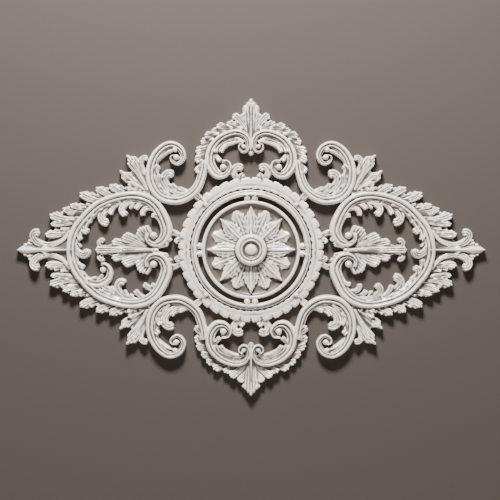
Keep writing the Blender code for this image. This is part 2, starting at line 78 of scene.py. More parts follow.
def spline(points):
    """A smooth line through the points, as a dense row of places."""
    knots = [np.array(point, float) for point in points]
    knots = [2 * knots[0] - knots[1]] + knots + [2 * knots[-1] - knots[-2]]
    places = []
    for before, start, end, after in zip(knots, knots[1:], knots[2:], knots[3:]):
        for step in range(SPLINE_STEPS):
            part = step / SPLINE_STEPS
            bend = (2 * before - 5 * start + 4 * end - after) * part ** 2
            bend = 2 * start + (end - before) * part + bend
            places.append(0.5 * (bend + (3 * start - before - 3 * end + after) * part ** 3))
    places.append(knots[-2])
    return np.array(places)


def arc_line(root, tip, turn, steps=64):
    """A line from root to tip that turns by so many degrees, more tightly towards the tip."""
    share = (np.arange(steps) + 0.5) / steps
    heading = math.radians(turn) * share ** 2
    line = np.concatenate([[0], np.cumsum(np.exp(1j * heading))])
    line = complex(*root) + line * (complex(*tip) - complex(*root)) / line[-1]
    return np.stack([line.real, line.imag], axis=1)


def distance_along(line):
    """How far along the line each of its places is."""
    return np.concatenate([[0], np.cumsum(np.linalg.norm(np.diff(line, axis=0), axis=1))])


def headings(line):
    """The way that the line runs at each of its places, in radians."""
    run = np.gradient(line, axis=0)
    return np.unwrap(np.arctan2(run[:, 1], run[:, 0]))


def left_of(line):
    """At each place of the line, a step of one to its left."""
    return np.stack([-np.sin(headings(line)), np.cos(headings(line))], axis=1)


print("places in a line of four points", len(spline([(0, 0), (1, 0), (2, 1), (3, 1)])))

# %% [markdown]
# The shells of all strokes are gathered in two plain lists, and become one mesh at the end. That is
# much faster than an object for each. Corners are written as the frame has them: the drawing's
# height becomes the way to the front, which is minus Y. A shell whose faces look inwards would
# leave a hole when the strokes are fused, so the signed size of each shell is measured first.

# %% Strokes
corners = []
faces = []


def add_shell(rings, is_loop=False):
    """Keeps rings of (x, up, height) corners as one closed shell that faces outwards."""
    rings = np.array(rings)
    count, around = rings.shape[:2]
    first = len(corners)
    flat = rings.reshape(-1, 3)
    depth = np.where(flat[:, 2] > 0, -flat[:, 2], BURIED)
    places = np.stack([flat[:, 0], depth, flat[:, 1]], axis=1) * MM
    corners.extend(places.tolist())
    own = np.arange(around)
    beside = (own + 1) % around
    ring = np.arange(count if is_loop else count - 1)[:, None] * around
    following = (ring + around) % (count * around)
    sides = (ring + own, ring + beside, following + beside, following + own)
    quads = np.stack(sides, axis=2).reshape(-1, 4)
    one, two, three, four = np.moveaxis(places[quads] - places.mean(axis=0), 1, 0)
    size = (one * (np.cross(two, three) + np.cross(three, four))).sum()
    shell = (quads + first).tolist()
    if not is_loop:
        shell.append([first + corner for corner in reversed(range(around))])
        shell.append([first + (count - 1) * around + corner for corner in range(around)])
    faces.extend(shell if size > 0 else [face[::-1] for face in shell])


def stroke(line, shares, widths, heights, section, side, level):
    """Carries a section along a line, in the quarter that the side and the level give. The widths
    and heights are those at the shares of the line's length."""
    along = distance_along(line)
    along = along / along[-1]
    outs = np.interp(shares, along, line[:, 0])
    ups = np.interp(shares, along, line[:, 1])
    angles = np.interp(shares, along, headings(line))
    across = np.array([place for place, rise in section])
    rises = np.array([rise for place, rise in section])
    half = np.asarray(widths)[:, None] / 2
    x = (outs[:, None] - np.sin(angles)[:, None] * half * across) * side
    up = (ups[:, None] + np.cos(angles)[:, None] * half * across) * level
    height = np.asarray(heights)[:, None] * rises
    add_shell(np.stack([x, up, height], axis=2))


# %% [markdown]
# The cross-sections carry most of the look. A scroll's band has a fat outer roll and two thinner
# inner ones, with grooves between. A rib of a leaf is a half-round on a thick edge, and a web, the
# ground that a leaf grows from, is a low wide one. A section is a row of places across the stroke,
# from -1 to 1, each with its share of the stroke's height.

# %% Cross-sections
def half_round(edge, power=0.5, count=9):
    """A rounded rib on an edge of some share of its height. A higher power makes it more pointed."""
    places = np.clip(np.cos(np.linspace(math.pi, 0, count)), -1, 1)
    top = [(place, edge + (1 - edge) * (1 - place ** 2) ** power) for place in places]
    return [(-1, 0)] + top + [(1, 0)]


def rolls(rows, count=8):
    """Half-round rolls side by side, each given as its middle, half width, foot and top."""
    outline = [(-1, 0)]
    for middle, half, foot, top in rows:
        outline += [(middle + half * math.cos(turn), foot + (top - foot) * math.sin(turn))
                    for turn in np.linspace(math.pi, 0, count)]
    return outline + [(1, 0)]


RIB = half_round(0.25, power=0.9)
WEB = half_round(0.6)
BAND = rolls([(-0.5, 0.5, 0.42, 1.0), (0.28, 0.3, 0.4, 0.84), (0.8, 0.2, 0.3, 0.62)])
SMALL_BAND = rolls([(-0.3, 0.7, 0.4, 1.0), (0.72, 0.28, 0.3, 0.7)])
print("corners in a rib's section", len(RIB), "and in a band's", len(BAND))

# %% [markdown]
# A scroll is a band that winds up to an eye, the ball in its middle. The eye could be a sphere, but
# the real one is a dome on a short stem, so that it leaves the mould: a turned profile gives both.

# %% Scrolls and eyes
CORNERS_PER_KNOT = 6


def scroll(points, widths, side, level, height=ROLL_HEIGHT, section=BAND):
    """A band through the points, with a width at each of them."""
    line = spline(points)
    knots = distance_along(line)[::SPLINE_STEPS]
    shares = np.linspace(0, 1, CORNERS_PER_KNOT * len(points))
    stroke(line, shares, np.interp(shares, knots / knots[-1], widths),
           np.full(len(shares), height), section, side, level)


def stud(profile, centre, around=24):
    """A round upright piece turned from (radius, height) pairs."""
    turns = np.linspace(0, 2 * math.pi, around, endpoint=False)
    add_shell([[(centre[0] + radius * math.cos(turn), centre[1] + radius * math.sin(turn), height)
                for turn in turns] for radius, height in profile])


def eye(centre, radius, side, level, height=EYE_HEIGHT):
    """The ball that a scroll winds up to. It stops just short of the pole, so no ring is a point."""
    dome = [(radius * math.cos(lift), height - radius + radius * math.sin(lift))
            for lift in np.linspace(0, 1.5, 7)]
    stud([(radius, 0)] + dome, (centre[0] * side, centre[1] * level))


print("a scroll of eight points has", CORNERS_PER_KNOT * 8, "rings of", len(BAND), "corners")

# %% [markdown]
# An acanthus lobe is a fan of ribs that spring close together and spread to a scalloped end. One
# sheet with grooves cut in it would be as good, but ribs that overlap give the grooves and the
# scallops at once. A lobe dips in its middle and turns up at its tip, where it catches the light.

# %% Lobes
RIB_OVERLAP = 1.55
SHORTEST_RIB = 0.35
# the fan's width where it springs, and the share of its length at which it is fully spread
SPRING_WIDTH = 0.45
FULL_SPREAD = 0.75
# a rib's width where it springs, and the share of its length at which it is full
ROOT_WIDTH = 0.5
FULL_WIDTH = 0.6
# a rib's height at its root, its dip in the middle, and how far its tip turns up
ROOT_HEIGHT = 0.84
DIP = 0.18
TIP_LIFT = 0.32
# a rib's height at its rounded end, and how much lower the ribs beside the middle one lie
END_HEIGHT = 0.66
SIDE_DROP = 0.025


def ends_of_rib(end, round_end, turned):
    """The shares of the line at which a rib has corners, and how round its end is at each."""
    straight = np.linspace(0, end - round_end, 9 + int(turned * 5))
    curved = end - round_end * (1 - np.sin(np.linspace(0, 1.45, 6)))
    shares = np.unique(np.concatenate([straight, curved]))
    past = np.clip((shares - (end - round_end)) / round_end, 0, 1)
    return shares, np.sqrt(np.maximum(0.03, 1 - past ** 2))


def fan(line, width, ribs, side, level, height, slant=0.0, point=0.6):
    """Ribs side by side along a line, each with a round end. Each rib ends sooner than the one
    nearer the middle by point, and each further to the left by slant, counted in rib widths."""
    along = distance_along(line)
    length = along[-1]
    turned = abs(headings(line)[-1] - headings(line)[0])
    pitch = width / ribs
    rib_width = pitch * (RIB_OVERLAP if ribs > 1 else 1.0)
    spread = SPRING_WIDTH + (1 - SPRING_WIDTH) * np.clip(along / length / FULL_SPREAD, 0, 1) ** 1.2
    for rib in range(ribs):
        off = rib - (ribs - 1) / 2
        rib_line = line + left_of(line) * (off * pitch * spread)[:, None]
        shorter = point * abs(off) + slant * (off + (ribs - 1) / 2)
        end = max(SHORTEST_RIB, 1 - pitch / length * shorter)
        shares, rounded = ends_of_rib(end, min(0.4, 0.6 * rib_width / length), turned)
        way = shares / end
        swell = ROOT_WIDTH + (1 - ROOT_WIDTH) * np.clip(way / FULL_WIDTH, 0, 1)
        rise = ROOT_HEIGHT - DIP * np.sin(math.pi * way) + TIP_LIFT * way ** 4
        crown = height * (1 - SIDE_DROP * off ** 2)
        stroke(rib_line, shares, rib_width * swell * rounded,
               crown * rise * (END_HEIGHT + (1 - END_HEIGHT) * rounded), RIB, side, level)


def leaf(root, tip, turn, width, ribs, side, level, height=LEAF_HEIGHT, slant=0.0, point=0.6):
    """A lobe from root to tip that turns by so many degrees."""
    fan(arc_line(root, tip, turn), width, ribs, side, level, height, slant, point)


def finger(points, width, ribs, side, level, height=FINGER_HEIGHT):
    """A lobe whose line runs along a band and then hooks away from it."""
    fan(spline(points), width, ribs, side, level, height, point=0.35)


# %% [markdown]
# Lobes come in rows. Those next to each other would merge into one lump if they were equally high,
# so each lies a little lower than its neighbour, as overlapping leaves do, and the fourth starts
# again at the top.

# %% Rows of lobes
LAPPED = 1.3
FINGER_SPREAD = 1.2
# where each small lobe springs from and ends along the main one, and how many widths aside
SPRAY_LOBES = [(0.15, 0.62, 0.6), (0.35, 0.8, 0.5), (0.5, 0.93, 0.36)]


def leaves(rows, side, level, height=LEAF_HEIGHT, point=0.5):
    """Lobes given as root, tip, turn, width, ribs and slant."""
    for number, (root, tip, turn, width, ribs, slant) in enumerate(rows):
        lapped_height = height - LAPPED * (number % 3)
        leaf(root, tip, turn, width, ribs, side, level, lapped_height, slant, point)


def fingers(rows, side, level, height=FINGER_HEIGHT):
    """Hooks given as the points of their line, width and ribs."""
    for number, (points, width, ribs) in enumerate(rows):
        finger(points, width * FINGER_SPREAD, ribs, side, level, height - LAPPED * (number % 3))


def spray(root, tip, turn, width, side, level, height=LEAF_HEIGHT):
    """A main lobe with smaller ones springing from its left, each tucked behind the next."""
    line = arc_line(root, tip, turn)
    left = left_of(line)
    fan(line, width * 0.6, 3, side, level, height + 1, point=0.85)
    for start, end, aside in SPRAY_LOBES:
        first = int(start * (len(line) - 1))
        last = int(end * (len(line) - 1))
        leaf(line[first] + left[first] * width * 0.12, line[last] + left[last] * width * aside, 28,
             width * 0.34, 2, side, level, height - 2, point=0.7)


print("lobes in a spray", 1 + len(SPRAY_LOBES))

# %% [markdown]
# A wing is one band that winds from an eye, round the outside and back to the other eye. Fingers
# hook inwards from it. Their lines are drawn from the photograph, point by point, because a carver
# places each by eye: no formula gives them. The left wing's lower half differs, with a scroll of
# its own that comes off the band.

# %% The wings' bands and fingers
WING_BAND = [(387, 0), (382, 29), (367, 57), (324, 98), (260, 116), (211, 101),
             (183, 51), (189, 22), (208, 13), (223, 22), (224, 36)]
WING_WIDTHS = [22.6, 22.6, 23.7, 22.6, 21.5, 23.7, 26.7, 22.6, 15.1, 10.8, 8.6]
WING_EYE = (210, 31)
FINGERS = [
    ([(187, 25), (192, 51), (203, 72), (216, 74)], 7, 2),
    ([(187, 47), (198, 73), (211, 88), (225, 90), (234, 81), (233, 72)], 8, 2),
    ([(200, 88), (217, 97), (234, 99), (245, 94), (249, 86)], 8, 2),
    ([(196, 81), (217, 101), (247, 106), (269, 100), (279, 86), (269, 73)], 11, 3),
    ([(226, 103), (247, 104), (262, 88)], 7, 1),
    ([(228, 109), (265, 109), (297, 97), (318, 82), (323, 69), (317, 60), (306, 59)], 13, 3),
    ([(280, 101), (297, 91), (305, 75)], 8, 2),
    ([(275, 107), (310, 95), (337, 79), (356, 59), (361, 45), (350, 37)], 11, 3),
    ([(327, 87), (343, 72), (348, 57)], 7, 1),
    ([(316, 94), (346, 75), (366, 46), (371, 30), (366, 20)], 8, 2),
    ([(372, 38), (374, 19), (366, 6)], 6, 1),
]
END_FINGER = [(359, 64), (375, 39), (382, 15), (375, -3), (363, -11), (354, -8), (354, 3)]
LEFT_LOWER_FINGERS = [
    ([(385, 3), (380, 20), (370, 33), (358, 39)], 8, 2),
    ([(239, 114), (269, 109), (299, 93), (321, 81)], 14, 3),
    ([(252, 108), (284, 95), (306, 81)], 9, 2),
    ([(217, 110), (245, 107), (272, 100), (287, 85), (286, 72), (278, 68), (271, 74)], 10, 2),
    ([(243, 108), (265, 100), (273, 86)], 7, 1),
    ([(226, 110), (249, 106), (261, 95)], 7, 1),
    ([(204, 104), (226, 104), (242, 97), (251, 86)], 8, 2),
    ([(191, 84), (202, 91), (219, 83), (233, 73)], 8, 2),
    ([(187, 58), (191, 76), (204, 80), (216, 74)], 7, 2),
]
LEFT_LOWER_SCROLL = [(385, 18), (381, 37), (369, 56), (349, 71), (326, 74), (309, 64),
                     (304, 47), (311, 34), (323, 30)]
LEFT_LOWER_WIDTHS = [8.6, 12.9, 16.1, 18.3, 18.3, 16.1, 12.9, 9.9, 7.7]
LEFT_LOWER_EYE = (319, 43)
LEFT_LOWER_TEETH = [
    ([(363, 56), (346, 63), (332, 59)], 7, 1),
    ([(346, 66), (329, 64), (320, 52)], 7, 1),
]
print("fingers in a wing's upper half", len(FINGERS), "and in the left lower one", len(LEFT_LOWER_FINGERS))

# %% [markdown]
# A run of leaves lies along the outside of a wing on a low web, and ends in the finial at the tip of
# the diamond. Between a wing's two eyes a tongue leaf points outwards. Each spray is a root, a tip,
# a turn in degrees and a width, and the lobes add how many ribs they have and their slant.

# %% The wings' leaves
OUTER_LEAVES = [
    ((202, 115), (267, 135), 35, 15),
    ((224, 116), (305, 141), 45, 22),
    ((254, 114), (334, 135), 45, 21),
    ((282, 106), (369, 124), 50, 24),
    ((303, 97), (390, 98), 45, 17),
    ((320, 88), (406, 90), 50, 20),
    ((338, 75), (434, 77), 50, 25),
    ((351, 64), (432, 56), 20, 16),
    ((359, 51), (444, 35), 40, 21),
]
FINIAL_CURL = [(389, 40), (409, 19), (437, 10), (459, 15), (470, 28), (466, 37), (455, 37)]
FINIAL_LOBES = [
    ((445, 3), (484, 18), -20, 12, 2, 0.3),
    ((454, 2), (493, 9), -15, 9, 2, 0.3),
]
FINIAL_BLADE = [(385, 0), (424, 0), (458, 0), (480, 0), (495, 0), (504, 0)]
FINIAL_BLADE_WIDTHS = [4.3, 9.7, 14.0, 23.7, 16.1, 2.2]
FINIAL_FAN = ((372, 0), (454, 0), 0, 24, 5)
FINIAL_NECK = [(385, 0), (419, 0), (454, 0), (475, 0)]
FINIAL_NECK_WIDTHS = [47.3, 32.3, 17.2, 12.9]
WING_WEB = [(239, 120), (277, 117), (316, 105), (353, 86), (383, 64), (404, 43), (419, 23), (443, 6)]
WING_WEB_WIDTHS = [8.6, 21.5, 28.0, 32.3, 36.6, 38.7, 30.1, 10.8]
TONGUE_LEAVES = [
    ((215, 5), (244, 47), -20, 38, 6, 0.0),
    ((219, 4), (281, 30), -12, 22, 4, 0.25),
    ((230, 3), (302, 18), -8, 15, 3, 0.25),
]
TONGUE_CURL = [(277, 3), (303, 4), (323, 7), (328, 15), (322, 21), (316, 17)]
TONGUE_SPINE = ((200, 0), (336, 0), 0, 14, 3)
TONGUE_WEB = [(217, 0), (249, 0), (286, 0), (316, 0)]
TONGUE_WEB_WIDTHS = [34.4, 55.9, 38.7, 12.9]
CROSSING_LEAF = ((213, 1), (177, 14), 25, 12, 3, 0.0)
print("sprays along half a wing", len(OUTER_LEAVES))

# %% [markdown]
# The two halves of a wing mirror each other about the long axis, so one function with a side and a
# level makes all four. Mirror modifiers would do as well, but not where one half differs.

# %% The wings
def outer_side(side, level):
    """The leaf run along the outside of half a wing, up to its half of the finial."""
    scroll(WING_WEB, WING_WEB_WIDTHS, side, level, WEB_HEIGHT, WEB)
    for row in OUTER_LEAVES:
        spray(*row, side, level)
    finger(FINIAL_CURL, 15, 3, side, level, LEAF_HEIGHT + 2)
    leaves(FINIAL_LOBES, side, level, LEAF_HEIGHT - 2)


def wing(side, upper_fingers, lower_fingers):
    """A wing, with the fingers of its upper and its lower half."""
    lower_band = [(out, -up) for out, up in WING_BAND[:0:-1]]
    scroll(lower_band + WING_BAND, WING_WIDTHS[:0:-1] + WING_WIDTHS, side, UPPER)
    for level, rows in ((UPPER, upper_fingers), (LOWER, lower_fingers)):
        eye(WING_EYE, 7.5, side, level)
        outer_side(side, level)
        fingers(rows, side, level)
        leaves(TONGUE_LEAVES, side, level, LEAF_HEIGHT - 1)
        finger(TONGUE_CURL, 9, 2, side, level, FINGER_HEIGHT + 2)
        leaves([CROSSING_LEAF], side, level, LEAF_HEIGHT + 3)
    finger(END_FINGER, 14, 3, side, UPPER, FINGER_HEIGHT + 2)
    scroll(TONGUE_WEB, TONGUE_WEB_WIDTHS, side, UPPER, WEB_HEIGHT, WEB)
    leaf(*TONGUE_SPINE, side, UPPER, LEAF_HEIGHT + 3.5)
    scroll(FINIAL_NECK, FINIAL_NECK_WIDTHS, side, UPPER, WEB_HEIGHT + 2, WEB)
    leaf(*FINIAL_FAN, side, UPPER, LEAF_HEIGHT - 1)
    scroll(FINIAL_BLADE, FINIAL_BLADE_WIDTHS, side, UPPER, LEAF_HEIGHT + 1, RIB)


wing(LEFT, FINGERS, LEFT_LOWER_FINGERS)
wing(RIGHT, FINGERS, FINGERS)
scroll(LEFT_LOWER_SCROLL, LEFT_LOWER_WIDTHS, LEFT, LOWER, ROLL_HEIGHT - 3, SMALL_BAND)
eye(LEFT_LOWER_EYE, 6.5, LEFT, LOWER, EYE_HEIGHT - 5)
fingers(LEFT_LOWER_TEETH, LEFT, LOWER)
print("corners so far", len(corners))

# %% [markdown]
# Four C-scrolls fill the corners between a wing and a cartouche, the crested frame at the top or
# the bottom. Each winds up to an eye, carries a palmette, a fan-shaped leaf, on its back, and has a
# curled leaf inside. All four are alike, so one drawing serves.

# %% The corner scrolls
CORNER_SCROLL = [(101, 193), (105, 165), (116, 135), (138, 115), (163, 108), (194, 116),
                 (213, 142), (215, 178), (201, 209), (177, 226), (155, 220), (146, 202),
                 (156, 187), (169, 191), (172, 200), (163, 203)]
CORNER_WIDTHS = [17.2, 19.4, 20.4, 21.5, 22.6, 22.6, 22.6, 21.5, 19.4, 17.2, 15.1, 12.9,
                 10.8, 9.0, 6.5, 4.3]
CORNER_EYE = (161, 199)
CORNER_INNER_EYE = (164, 216)
CORNER_FINGERS = [
    ([(110, 144), (129, 125), (151, 123), (174, 131), (186, 146), (186, 158), (177, 165),
      (166, 161)], 13, 3),
    ([(131, 122), (153, 129), (167, 135), (171, 144)], 8, 2),
    ([(114, 135), (135, 126), (156, 133)], 7, 2),
    ([(176, 118), (191, 135), (198, 152), (192, 162)], 11, 3),
    ([(196, 135), (203, 159), (205, 175), (197, 182)], 9, 2),
    ([(213, 167), (201, 193), (183, 209), (169, 215)], 8, 1),
]
PALMETTE = [
    ((217, 124), (267, 202), -22, 24, 5, 0.0),
    ((224, 129), (255, 193), -5, 12, 3, 0.0),
    ((222, 122), (281, 169), 6, 20, 5, 0.2),
    ((217, 119), (266, 147), 20, 11, 3, 0.0),
]
PALMETTE_SPINES = [
    ((222, 129), (269, 204), -24, 8, 1, 0.0),
    ((230, 129), (283, 171), 8, 8, 1, 0.0),
]
PALMETTE_CURL = [(213, 129), (228, 161), (238, 187), (232, 198), (222, 197)]
PALMETTE_WEB = [(217, 124), (237, 148), (254, 172)]
PALMETTE_WEB_WIDTHS = [10.8, 23.7, 17.2]


def corner(side, level):
    """One C-scroll with its eyes, inner leaf and palmette."""
    scroll(CORNER_SCROLL, CORNER_WIDTHS, side, level)
    eye(CORNER_EYE, 6.2, side, level)
    eye(CORNER_INNER_EYE, 5.4, side, level, EYE_HEIGHT - 3)
    fingers(CORNER_FINGERS, side, level, FINGER_HEIGHT + 1)
    scroll(PALMETTE_WEB, PALMETTE_WEB_WIDTHS, side, level, WEB_HEIGHT, WEB)
    leaves(PALMETTE, side, level, LEAF_HEIGHT + 1, point=1.1)
    leaves(PALMETTE_SPINES, side, level, LEAF_HEIGHT + 3)
    finger(PALMETTE_CURL, 11, 3, side, level, LEAF_HEIGHT + 1)


for side in SIDES:
    for level in LEVELS:
        corner(side, level)
print("corners so far", len(corners))

# %% [markdown]
# A cartouche is a pair of C-scrolls back to back under a crest leaf, with a run of lobes down each
# side and a pendant between the two small eyes. The lower one is drawn in a little.

# %% The upper cartouche
CARTOUCHE_SCROLL = [(63, 191), (50, 188), (47, 175), (57, 163), (73, 163), (85, 177),
                    (89, 196), (83, 220), (62, 242), (34, 252), (14, 246), (6, 232), (8, 218),
                    (16, 212), (24, 218), (24, 225), (18, 228)]
CARTOUCHE_WIDTHS = [6.5, 9.5, 11.2, 16.1, 21.5, 22.6, 21.5, 19.4, 17.2, 15.1, 13.8, 11.6, 9.9,
                    8.6, 7.3, 6.5, 5.2]
CARTOUCHE_EYE = (60, 178)
CARTOUCHE_SMALL_EYE = (16, 222)
CARTOUCHE_FINGERS = [
    ([(16, 232), (28, 239), (47, 239), (66, 231), (76, 220), (80, 209)], 13, 3),
    ([(22, 234), (39, 231), (55, 225), (63, 217), (66, 209)], 9, 2),
    ([(83, 223), (79, 208), (72, 198), (65, 191)], 9, 2),
]
CREST_LEAVES = [
    ((1, 234), (41, 292), -45, 15, 3, 0.2),
    ((3, 249), (20, 295), -25, 10, 2, 0.0),
    ((5, 251), (39, 276), -10, 12, 3, 0.2),
]
CREST = ((0, 225), (0, 326), 0, 34, 5)
CREST_STEM = [(0, 215), (0, 230), (0, 253), (0, 288)]
CREST_STEM_WIDTHS = [5.4, 9.5, 8.6, 3.2]
CARTOUCHE_RUN = [
    ((19, 260), (54, 276), 5, 17, 3, 0.35),
    ((41, 260), (76, 270), 5, 15, 3, 0.35),
    ((54, 254), (87, 258), 0, 13, 3, 0.3),
    ((69, 249), (103, 247), 0, 15, 3, 0.35),
    ((80, 238), (111, 233), 0, 14, 3, 0.35),
    ((86, 223), (122, 210), -5, 17, 3, 0.35),
    ((90, 208), (123, 191), -5, 16, 3, 0.3),
    ((92, 197), (119, 164), -20, 14, 3, 0.2),
    ((88, 187), (100, 170), 0, 9, 2, 0.0),
]
CARTOUCHE_WEB = [(11, 255), (49, 259), (81, 243), (100, 217), (104, 193), (99, 178)]
CARTOUCHE_WEB_WIDTHS = [17.2, 19.4, 23.7, 23.7, 19.4, 10.8]
JOINING_FINGERS = [
    ([(1, 133), (19, 144), (34, 159), (37, 171), (28, 179), (17, 174)], 12, 3),
    ([(0, 137), (14, 146), (22, 157), (14, 164)], 9, 2),
]
PENDANT = ((0, 236), (0, 203), 0, 12, 1)
print("lobes down one side of the upper cartouche", len(CARTOUCHE_RUN))

# %% [markdown]
# The lower cartouche hangs from the ring as the upper one stands on it, but it is a little shorter
# and its leaves are set otherwise. It takes the upper one's scrolls, drawn in towards the ring.

# %% The lower cartouche
LOW_CREST = ((0, 220), (0, 315), 0, 31, 5)
LOW_CREST_STEM = [(0, 209), (0, 224), (0, 246), (0, 278)]
LOW_CREST_LEAVES = [
    ((2, 237), (48, 274), -20, 17, 4, 0.2),
    ((2, 246), (28, 286), -20, 15, 4, 0.2),
    ((1, 258), (17, 299), -10, 10, 2, 0.0),
]
LOW_RUN = [
    ((24, 243), (60, 266), 5, 15, 3, 0.35),
    ((45, 246), (84, 258), 5, 16, 3, 0.35),
    ((62, 239), (99, 243), 0, 15, 3, 0.35),
    ((75, 228), (110, 226), 0, 15, 3, 0.35),
    ((84, 215), (121, 207), 0, 16, 3, 0.35),
    ((88, 205), (124, 188), -5, 16, 3, 0.3),
    ((90, 194), (121, 163), -20, 14, 3, 0.2),
    ((88, 183), (99, 169), 0, 9, 2, 0.0),
]
LOW_BASE = 154.8
LOW_SHARE = 0.92
print("lobes down one side of the lower cartouche", len(LOW_RUN))


# %% [markdown]
# With both drawn, one function makes a cartouche. The joining leaves at its foot also stand between
# the ring and each wing, where out and up change places.

# %% The cartouches
def placed(place, level):
    """A place of the upper cartouche, drawn in where it is the lower one."""
    if level == UPPER:
        return place
    return (place[0], LOW_BASE + (place[1] - LOW_BASE) * LOW_SHARE)


def cartouche(level, crest, crest_stem, crest_leaves, run):
    """Both halves of a cartouche, with its crest and pendant."""
    for side in SIDES:
        scroll([placed(place, level) for place in CARTOUCHE_SCROLL], CARTOUCHE_WIDTHS, side, level)
        scroll([placed(place, level) for place in CARTOUCHE_WEB], CARTOUCHE_WEB_WIDTHS, side, level,
               WEB_HEIGHT, WEB)
        eye(placed(CARTOUCHE_EYE, level), 6.7, side, level)
        eye(placed(CARTOUCHE_SMALL_EYE, level), 4.5, side, level)
        for points, width, ribs in CARTOUCHE_FINGERS:
            finger([placed(place, level) for place in points], width, ribs, side, level)
        leaves(run, side, level)
        leaves(crest_leaves, side, level, LEAF_HEIGHT + 1)
        fingers(JOINING_FINGERS, side, level, LEAF_HEIGHT + 1)
    scroll(crest_stem, CREST_STEM_WIDTHS, RIGHT, level, LEAF_HEIGHT + 3.5, RIB)
    leaf(*crest, RIGHT, level, LEAF_HEIGHT + 3, point=1.1)
    root, tip, turn, width, ribs = PENDANT
    leaf(placed(root, level), placed(tip, level), turn, width, ribs, RIGHT, level, EYE_HEIGHT - 2)


cartouche(UPPER, CREST, CREST_STEM, CREST_LEAVES, CARTOUCHE_RUN)
cartouche(LOWER, LOW_CREST, LOW_CREST_STEM, LOW_CREST_LEAVES, LOW_RUN)
for side in SIDES:
    for level in LEVELS:
        for points, width, ribs in JOINING_FINGERS:
            finger([(up, out) for out, up in points], width, ribs, side, level, LEAF_HEIGHT + 1)
print("corners so far", len(corners))

# %% [markdown]
# The round middle is turned work on the real model: a profile is run round the centre in wet
# plaster. Spin or a Screw modifier would make it too, but the ripple of the boss needs a height that
# changes on the way round. The disc is a rimmed dish with a cove inside the rim.

# %% Turned mouldings and the disc
DISC_RADIUS = 106.0
RIM_HEIGHT = 17.0
FIELD_HEIGHT = 8.0
MIDDLE = (0, 0)


def upright(profile, turn):
    """A profile of (radius, height) set upright on the line from the middle at an angle."""
    return [(radius * math.cos(turn), radius * math.sin(turn), height) for radius, height in profile]


def turned(profile, around=240, ripple=0.0, waves=1):
    """A closed profile turned about the middle, its top rippled if asked."""
    rings = []
    for turn in np.linspace(0, 2 * math.pi, around, endpoint=False):
        lift = ripple * math.cos(waves * turn)
        rings.append(upright([(radius, height + lift if height > 0 else height)
                              for radius, height in profile], turn))
    add_shell(rings, is_loop=True)


def moulding(radius, width, low, high, count=9):
    """The profile of a half-round moulding about a radius."""
    return [(radius + width / 2 * math.cos(lift), low + (high - low) * math.sin(lift))
            for lift in np.linspace(math.pi, 0, count)]


rim = moulding(102.2, 7.9, RIM_HEIGHT * 0.7, RIM_HEIGHT)
cove = [(96.6, RIM_HEIGHT * 0.66), (95.1, RIM_HEIGHT * 0.56),
        (92.5, FIELD_HEIGHT + 0.8), (89.2, FIELD_HEIGHT)]
stud([(DISC_RADIUS, 0)] + rim[::-1] + cove + [(2.0, FIELD_HEIGHT)], MIDDLE, around=200)
print("corners in the disc's profile", len(rim) + len(cove) + 2)

# %% [markdown]
# Sixteen petals lie in two layers, eight pointed ones over eight rounded ones. Each is one stroke of
# a section with five veins, and its width is bitten into teeth. It dips in its middle and turns up at
# its tip, like the lobes.

# %% The petals
BOSS_RADIUS = 34.0
PETAL_HEIGHT = 20.0
PETAL = rolls([(-0.8, 0.2, 0.55, 0.8), (-0.43, 0.21, 0.62, 0.88), (0, 0.26, 0.7, 1.0),
               (0.43, 0.21, 0.62, 0.88), (0.8, 0.2, 0.55, 0.8)], count=6)
POINTED = [0.5, 0.56, 0.72, 1.0, 0.98, 0.66, 0.3, 0.04]
ROUNDED = [0.5, 0.5, 0.6, 0.8, 0.96, 1.0, 0.94, 0.3]
PETAL_PAIRS = 8
PETAL_TEETH = 7
TOOTH_DEPTH = 0.26
PETAL_DIP = 0.16
PETAL_LIFT = 0.06


def petal(angle, outline, width, reach, height):
    """A serrated petal that points away from the boss at the angle and turns up at its tip."""
    towards = np.array([math.cos(angle), math.sin(angle)])
    shares = np.linspace(0, 1, 10 * PETAL_TEETH + 1)
    bite = (1 - TOOTH_DEPTH) + TOOTH_DEPTH * (shares * PETAL_TEETH % 1)
    widths = np.interp(shares, np.linspace(0, 1, len(outline)), outline) * width * bite
    line = np.linspace(towards * BOSS_RADIUS * 0.6, towards * reach, 40)
    rise = 1.0 - PETAL_DIP * np.sin(math.pi * shares) + PETAL_LIFT * shares ** 3
    stroke(line, shares, widths, height * rise, PETAL, RIGHT, UPPER)


step = 2 * math.pi / PETAL_PAIRS
for number in range(PETAL_PAIRS):
    petal(step * number, POINTED, 40.0, 94.6, PETAL_HEIGHT)
    petal(step * (number + 0.5), ROUNDED, 32.3, 89.2, PETAL_HEIGHT - 5.0)
print("corners so far", len(corners))

# %% [markdown]
# The boss has a beaded ring, a thin ring inside it and a cup with a dome. The ring about the disc
# stands clear of it, with a slot all round that is open right through, and has a fine bead outside.

# %% The boss and the ring
BOSS_HEIGHT = 33.0
RING_HEIGHT = 21.0
RING_INNER = 116.1
RING_OUTER = 129.0
COLLAR_HEIGHT = 12.0

bead_ring = moulding(28.0, 12.1, BOSS_HEIGHT * 0.62, BOSS_HEIGHT * 0.9)
turned([(21.9, 0)] + bead_ring + [(BOSS_RADIUS, 0)], ripple=0.55, waves=26)
dome = [(11.6 * math.cos(lift), BOSS_HEIGHT * 0.74 + BOSS_HEIGHT * 0.16 * math.sin(lift))
        for lift in np.linspace(0, 1.5, 8)]
thin_ring = moulding(20.6, 3.5, BOSS_HEIGHT * 0.84, BOSS_HEIGHT * 0.92, count=6)
cup = [(17.2, BOSS_HEIGHT * 0.8), (14.2, BOSS_HEIGHT * 0.73)]
stud([(23.7, 0)] + thin_ring[::-1] + cup + dome, MIDDLE, around=96)

